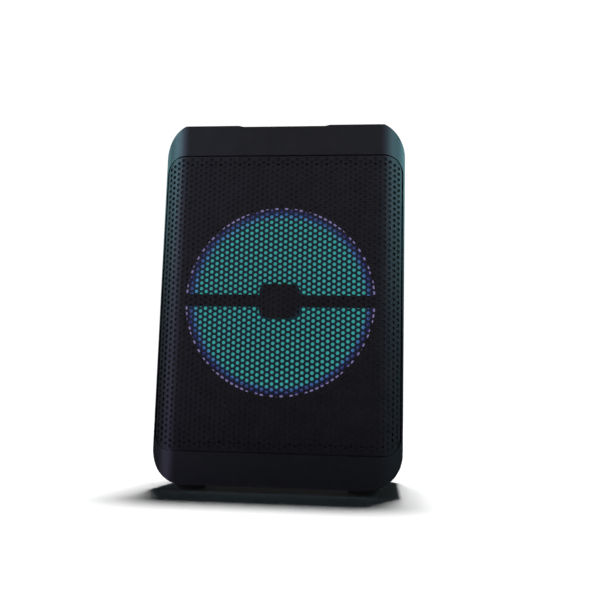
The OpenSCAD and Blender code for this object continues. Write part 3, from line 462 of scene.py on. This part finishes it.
cloth_w, cloth_h = (size - CLOTH_EDGE for size in sheet_half())
as_object("grille_cloth", cloth_sheet(cloth_w, cloth_h), "mask", "cabinet")
cap = bent_plate([circle(0, 0, CLOTH_CAP, CAP_POINTS)], [], CLOTH_IN, CLOTH)
as_object("cap_cloth", cap, "mask", "cabinet")

# ---------- surround and spider ---------------------------------------

TURNS = 128
RUBBER = 0.5 * MM        # thickness of both skins
ROLL_OUT = 83.5 * MM
ROLL_R = 5 * MM
ROLL_IN = ROLL_OUT - 2 * ROLL_R
ROLL_STEPS = 24
ROLL_EASE = 0.05 * MM    # keeps the roll inside the CAD model's
RIB = 0.12 * MM
RIBS = 6
LIP = 4 * MM             # what is glued to the cone
SPIDER_IN = 13.4 * MM
SPIDER_STEPS = 72
WAVES = 4
WAVE = 0.7 * MM


def lathe(profile):
    """A closed (radius, depth behind the face) profile turned about the woofer's axis."""
    mesh = bmesh.new()
    rings = []
    for k in range(TURNS):
        a = 2 * math.pi * k / TURNS
        rings.append([mesh.verts.new((r * math.cos(a), FRONT_Y + t, AXIS_Z + r * math.sin(a)))
                      for r, t in profile])
    for ring, after in zip(rings, rings[1:] + rings[:1]):
        for i in range(len(profile)):
            j = (i + 1) % len(profile)
            mesh.faces.new([ring[i], ring[j], after[j], after[i]])
    bmesh.ops.recalc_face_normals(mesh, faces=mesh.faces)
    for face in mesh.faces:
        face.smooth = True
    return mesh


def membrane(name, line, slot):
    """A thin turned skin along a line, from the cone at inner to the basket at outer."""
    under = [(r, t + RUBBER) for r, t in reversed(line)]
    piece = as_object(name, lathe(line + under), slot)
    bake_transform(piece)
    return piece


def surround_line(high):
    """Flat rim, half roll with shallow ribs and inner lip."""
    rim_t = high.y - FRONT_Y - RUBBER
    line = [(high.x, rim_t), (ROLL_OUT + 0.6 * MM, rim_t)]
    for k in range(ROLL_STEPS + 1):
        a = math.pi * k / ROLL_STEPS
        bulge = ROLL_R - ROLL_EASE + RIB * math.sin(RIBS * a) ** 2 * math.sin(a)
        line.append((ROLL_OUT - ROLL_R + bulge * math.cos(a),
                     rim_t - (bulge - 2 * ROLL_EASE) * math.sin(a)))
    return line + [(ROLL_IN - LIP, rim_t)]


def spider_line(low, high):
    """Waves that fade out at both ends."""
    middle = (low.y + high.y) / 2 - FRONT_Y - RUBBER / 2
    line = []
    for k in range(SPIDER_STEPS + 1):
        share = k / SPIDER_STEPS
        fade = min(1, 6 * share, 8 * (1 - share))
        r = high.x + (SPIDER_IN - high.x) * share
        line.append((r, middle + WAVE * fade * math.sin(2 * math.pi * WAVES * share)))
    return line


surround_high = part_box("surround")[1]
roll = membrane("surround_roll", surround_line(surround_high), "surround")
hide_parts("surround")
spider_low, spider_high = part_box("spider")
spider = membrane("spider_cloth", spider_line(spider_low, spider_high), "spider_cloth")
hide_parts("spider")

# ---------- carried-over pieces ----------

for node in NODES.values():
    paint(node, node.material_slots[0].material.name.split(".")[0])
paint(NODES["woofer_gasket"], "surround")

WELD = 0.01 * MM
CREASE = math.radians(11)    # the facets of a round face meet at less than this
EDGES = {                    # how far moulding rounds the edges, in millimetres
    "front_bezel": 1.0, "rear_shell": 1.0, "control_panel": 0.7, "handle_well": 0.8,
    "handle_grip": 0.8, "volume_knob": 0.3, "mic_knob": 0.3, "echo_knob": 0.3,
    "mode_button": 0.4, "previous_button": 0.4, "play_button": 0.4, "next_button": 0.4,
    "light_button": 0.4, "power_rocker": 0.4, "power_switch": 0.4, "window_ring": 0.4,
    "display_lens": 0.3, "feet": 0.5, "mic_jacks": 0.3, "round_sockets": 0.3,
}


def soften(piece, width):
    """Rounds the creases of a piece as moulding leaves them."""
    weld = piece.modifiers.new("weld", "WELD")
    weld.merge_threshold = WELD
    bevel = piece.modifiers.new("bevel", "BEVEL")
    bevel.width = width
    bevel.segments = 3
    bevel.limit_method = "ANGLE"
    bevel.angle_limit = CREASE
    bevel.use_clamp_overlap = True
    even = piece.modifiers.new("even", "WEIGHTED_NORMAL")
    even.mode = "FACE_AREA"
    even.weight = 50
    even.keep_sharp = False


for name, width in EDGES.items():
    soften(NODES[name], width * MM)

# ---------- prints on the control panel ----------
# Outlines are in millimetres, u to the right as seen from behind, which is -X, and v up.

PRINT = 0.12 * MM


def stamp(name, shapes, middle, y, material, body):
    """Thin printed shapes round a middle, on the surface at y."""
    mesh = bmesh.new()
    for shape in shapes:
        base = [mesh.verts.new((middle.x - u * MM, y, middle.z + v * MM)) for u, v in shape]
        top = [mesh.verts.new(v.co + Vector((0, PRINT, 0))) for v in base]
        mesh.faces.new(top)
        mesh.faces.new(base[::-1])
        for i in range(len(base)):
            j = (i + 1) % len(base)
            mesh.faces.new([base[i], base[j], top[j], top[i]])
    bmesh.ops.recalc_face_normals(mesh, faces=mesh.faces)
    as_object(name, mesh, material, body)


def bar(u, v, w, h):
    return [(u - w / 2, v - h / 2), (u + w / 2, v - h / 2),
            (u + w / 2, v + h / 2), (u - w / 2, v + h / 2)]


def arrow(u, size, way):
    """A triangle that points right for way 1 and left for way -1."""
    return [(u - way * size / 2, -size * 0.6), (u + way * size / 2, 0),
            (u - way * size / 2, size * 0.6)]


def disc(u, v, r, sides=24):
    turns = [2 * math.pi * k / sides for k in range(sides)]
    return [(u + r * math.cos(a), v + r * math.sin(a)) for a in turns]


def spoke(angle, start, end, w):
    """A short bar that points away from the middle."""
    a = math.radians(angle)
    c, s = math.cos(a), math.sin(a)
    return [(u * c - v * s, u * s + v * c) for u, v in
            ((start, -w / 2), (end, -w / 2), (end, w / 2), (start, w / 2))]


def centre(box):
    return (box[0] + box[1]) / 2


ICONS = {
    "mode": [bar(0, 1.4, 4, 0.7), bar(0, 0, 4, 0.7), bar(0, -1.4, 4, 0.7)],
    "previous": [bar(-1.9, 0, 0.6, 3), arrow(-0.4, 2.4, -1), arrow(1.6, 2.4, -1)],
    "play": [arrow(-0.8, 2.8, 1), bar(1.4, 0, 0.6, 3.2), bar(2.5, 0, 0.6, 3.2)],
    "next": [arrow(-1.6, 2.4, 1), arrow(0.4, 2.4, 1), bar(1.9, 0, 0.6, 3)],
    "light": [disc(0, 0, 1.1)] + [spoke(45 * k, 1.7, 2.7, 0.5) for k in range(8)],
}
for key, shapes in ICONS.items():
    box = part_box(key + "_button")
    stamp(key + "_icon", shapes, centre(box), box[1].y, "print", key + "_key")

FACE_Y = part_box("usb_socket")[1].y - 0.4 * MM    # the socket stands that far proud of the panel
TICK_START, TICK_END, LONG_END, TICK_W = 1.2, 2.8, 3.4, 0.45
for key in ("volume", "mic", "echo"):
    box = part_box(key + "_knob")
    reach = (box[1].x - box[0].x) / 2 / MM
    ticks = [spoke(a, reach + TICK_START, reach + (TICK_END if a else LONG_END), TICK_W)
             for a in range(-60, 241, 30)]
    stamp(key + "_ticks", ticks, centre(box), FACE_Y, "print", "cabinet")
    index = [bar(0, 0.62 * reach, 0.8, 0.5 * reach)]
    stamp(key + "_mark", index, centre(box), box[1].y, "print", key + "_control")

POWER_UP = 17 * MM       # from the rocker's middle to the mark's
ring = [spoke(a, 1.6, 2.2, 0.6) for a in range(110, 431, 20)]
above = centre(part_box("power_rocker")) + Vector((0, 0, POWER_UP))
stamp("power_mark", ring + [bar(0, 1.9, 0.6, 2)], above, FACE_Y, "print", "cabinet")

SEGMENTS = {"0": "abcdef", "1": "bc", "2": "abged"}
SEGMENT_PLACE = {
    "a": (0, 6, 4.6, 0.9), "b": (2.8, 3, 0.9, 4.6), "c": (2.8, -3, 0.9, 4.6),
    "d": (0, -6, 4.6, 0.9), "e": (-2.8, -3, 0.9, 4.6), "f": (-2.8, 3, 0.9, 4.6),
    "g": (0, 0, 4.6, 0.9),
}
digits = []
for place, digit in zip((-18, -8, 8, 18), "1200"):
    segments = (SEGMENT_PLACE[key] for key in SEGMENTS[digit])
    digits += [bar(place + u, v, w, h) for u, v, w, h in segments]
digits += [bar(0, 2.5, 1, 1), bar(0, -2.5, 1, 1)]
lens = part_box("display_lens")
stamp("display_digits", digits, centre(lens), lens[1].y, "digits", "cabinet")

# ---------- camera ----------

CAMERA_AT = Vector((0.109, FRONT_Y - 0.821, AXIS_Z - 0.121))
ROLL, PITCH_DOWN, TURN = (math.radians(a) for a in (1.5, -8.39, 6.04))
LENS = 48
SENSOR = 36


def camera():
    turn = Matrix.Rotation(ROLL, 3, "Z") @ Matrix.Rotation(PITCH_DOWN, 3, "X")
    turn = turn @ Matrix.Rotation(TURN, 3, "Y")
    right = Vector((turn[0][0], turn[0][2], -turn[0][1]))
    up = -Vector((turn[1][0], turn[1][2], -turn[1][1]))
    ahead = Vector((turn[2][0], turn[2][2], -turn[2][1]))
    data = bpy.data.cameras.new("camera")
    data.lens = LENS
    data.sensor_width = SENSOR
    data.clip_start = 0.01
    data.clip_end = 50
    seen = bpy.data.objects.new("camera", data)
    bpy.context.scene.collection.objects.link(seen)
    facing = Matrix((right, up, -ahead)).transposed().to_4x4()
    seen.matrix_world = Matrix.Translation(CAMERA_AT) @ facing
    bpy.context.scene.camera = seen


camera()

# ---------- floor and light ----------

FLOOR_HALF = 30
FLOOR_CLOUD = 0.4
SUN_FROM = Vector((0, 0.36, 1))    # high behind the object
SUN_ANGLE = math.radians(14)
SUN_STRENGTH = 4.2
WHITE = 1.05                       # what the camera sees behind the object
AMBIENT = 0.006
REFLECTED = [(-0.7, 0.4), (-0.3, 0.008), (0.0, 0.015), (0.6, 0.33)]    # (upward part, grey)
COOL = (0.36, 0.88, 1.0)
VIOLET = (0.64, 0.56, 1.0)
BOX_AWAY = 1.1
BOX_W = 0.6
BOXES = {    # side, azimuth from the front, radiance, colour, height of its middle, its height
    "left_front_box": (-1, 60, 5.0, COOL, 0.82, 0.6),
    "left_rear_box": (-1, 102, 3.0, COOL, 0.82, 0.6),
    "left_wide_box": (-1, 45, 1.6, VIOLET, 0.4, 1.1),
    "right_front_box": (1, 48, 4.2, COOL, 0.82, 0.6),
    "right_rear_box": (1, 88, 7.0, COOL, 0.82, 0.6),
    "right_wide_box": (1, 32, 0.7, VIOLET, 0.75, 0.6),
}


def floor():
    mesh = bmesh.new()
    bmesh.ops.create_grid(mesh, x_segments=2, y_segments=2, size=FLOOR_HALF)
    data = bpy.data.meshes.new("floor")
    mesh.to_mesh(data)
    mesh.free()
    plane = bpy.data.objects.new("floor", data)
    bpy.context.scene.collection.objects.link(plane)
    made = Nodes(fresh("floor"))
    greys = [(0.3, (0.93, 0.93, 0.93)), (0.7, (0.95, 0.95, 0.95))]
    made.link(made.ramp(made.noise(FLOOR_CLOUD, 2), greys), made.shader.inputs["Base Color"])
    made.set(Roughness=0.9, Specular_IOR_Level=0.0)
    data.materials.append(made.material)
    plane.visible_glossy = False
    plane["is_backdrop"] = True


def lamp(name, kind, energy, colour=(1, 1, 1)):
    data = bpy.data.lights.new(name, kind)
    data.energy = energy
    data.color = colour
    made = bpy.data.objects.new(name, data)
    bpy.context.scene.collection.objects.link(made)
    return made


def top_light():
    """A wide soft light high behind the object, so that its shadow falls to the front."""
    made = lamp("top_light", "SUN", SUN_STRENGTH)
    made.data.angle = SUN_ANGLE
    made.rotation_euler = SUN_FROM.to_track_quat("Z", "Y").to_euler()


def softbox(name, side, azimuth, radiance, colour, middle, tall, pieces):
    """A box of light beside the object that lights its pieces and not the floor."""
    aim = Vector((side * (HALF_W - 10 * MM), FRONT_Y + 20 * MM, AXIS_Z + 0.1))
    turn = math.radians(azimuth)
    away = Vector((side * math.sin(turn), -math.cos(turn), 0)) * BOX_AWAY
    made = lamp(name, "AREA", radiance * math.pi * BOX_W * tall, colour)
    made.data.shape = "RECTANGLE"
    made.data.size = BOX_W
    made.data.size_y = tall
    made.location = Vector((aim.x, aim.y, middle)) + away
    made.rotation_euler = (aim - made.location).to_track_quat("-Z", "Y").to_euler()
    made.light_linking.receiver_collection = pieces


def world():
    """White behind the object, a dim ambient light, and a reflection that goes by height."""
    sky = bpy.data.worlds.new("studio")
    bpy.context.scene.world = sky
    sky.use_nodes = True
    tree = sky.node_tree
    path = tree.nodes.new("ShaderNodeLightPath")
    split = tree.nodes.new("ShaderNodeSeparateXYZ")
    tree.links.new(tree.nodes.new("ShaderNodeTexCoord").outputs["Generated"], split.inputs[0])
    height = tree.nodes.new("ShaderNodeMapRange")
    height.inputs["From Min"].default_value = -1
    tree.links.new(split.outputs["Z"], height.inputs["Value"])
    steps = tree.nodes.new("ShaderNodeValToRGB")
    elements = steps.color_ramp.elements
    while len(elements) < len(REFLECTED):
        elements.new(0.5)
    for element, (z, grey) in zip(elements, REFLECTED):
        element.position = (z + 1) / 2
        element.color = (grey, grey, grey, 1)
    tree.links.new(height.outputs["Result"], steps.inputs["Fac"])
    first = tree.nodes.new("ShaderNodeMix")
    first.data_type = "RGBA"
    first.inputs[6].default_value = (AMBIENT, AMBIENT, AMBIENT, 1)
    tree.links.new(path.outputs["Is Glossy Ray"], first.inputs["Factor"])
    tree.links.new(steps.outputs["Color"], first.inputs[7])
    last = tree.nodes.new("ShaderNodeMix")
    last.data_type = "RGBA"
    last.inputs[7].default_value = (WHITE, WHITE, WHITE, 1)
    tree.links.new(path.outputs["Is Camera Ray"], last.inputs["Factor"])
    tree.links.new(first.outputs[2], last.inputs[6])
    tree.links.new(last.outputs[2], tree.nodes["Background"].inputs["Color"])


floor()
world()
top_light()
receivers = bpy.data.collections.new("object_pieces")
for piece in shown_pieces():
    receivers.objects.link(piece)
for name, values in BOXES.items():
    softbox(name, *values, receivers)
bpy.context.scene.view_settings.view_transform = "Standard"
